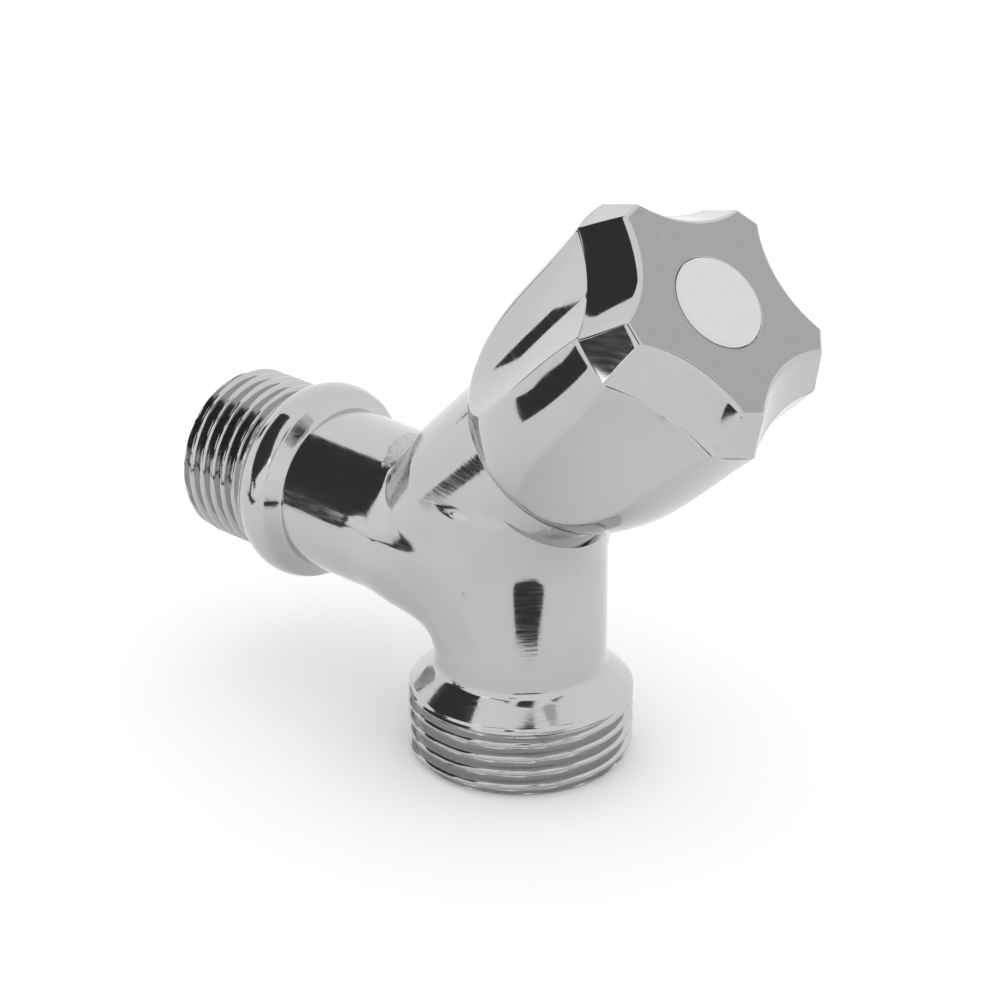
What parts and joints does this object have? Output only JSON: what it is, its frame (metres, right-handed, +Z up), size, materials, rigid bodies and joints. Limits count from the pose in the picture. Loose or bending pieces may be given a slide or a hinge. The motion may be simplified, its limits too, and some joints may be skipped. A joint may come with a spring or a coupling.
{
  "type": "hose tap",
  "caption": "Y-pattern chrome tap: horizontal male inlet, vertical male hose outlet and a star handle on a 45 degree neck.",
  "frame": {"origin": "centre of the inlet's open end", "axes": "+X along the inlet towards the outlet, +Z up, outlet facing down, handle up and away from the inlet in the XZ plane"},
  "size_m": [0.0845, 0.0311, 0.0732],
  "materials": {
    "chromed_brass": "polished chrome over cast brass",
    "chromed_plastic": "bright chrome plating over ABS",
    "white_plastic": "smooth white plastic",
    "brass": "turned brass",
    "spring_steel": "bright spring steel",
    "steel": "zinc-plated steel",
    "rubber": "black nitrile rubber",
    "fibre": "red vulcanised fibre",
    "slide_plastic": "white acetal"
  },
  "bodies": {
    "body": {"valve_body": "chromed_brass", "headwork_body": "brass", "headwork_seal": "fibre", "thrust_washer": "slide_plastic"},
    "handle": {"handle_skirt": "chromed_plastic", "handle_cap": "chromed_plastic", "index_button": "white_plastic", "handle_screw": "steel", "lock_washer": "spring_steel", "spline_insert": "brass", "spindle": "brass", "spindle_clip": "spring_steel", "o_ring_lower": "rubber", "o_ring_upper": "rubber"},
    "plunger": {"plunger": "brass", "seat_washer": "rubber", "washer_disc": "brass", "washer_screw": "steel"}
  },
  "joints": [
    {"name": "handle_turn", "type": "hinge", "parent": "body", "child": "handle", "pos_m": [0.06398, 0, 0.02828], "axis": [0.7071, 0, 0.7071], "range_deg": [0, 810]},
    {"name": "plunger_lift", "type": "slide", "parent": "body", "child": "plunger", "axis": [0.7071, 0, 0.7071], "range_m": [0, 0.00451]}
  ],
  "couplings": [
    {"joint": "plunger_lift", "follows": "handle_turn", "m_per_rad": 0.00031831}
  ]
}
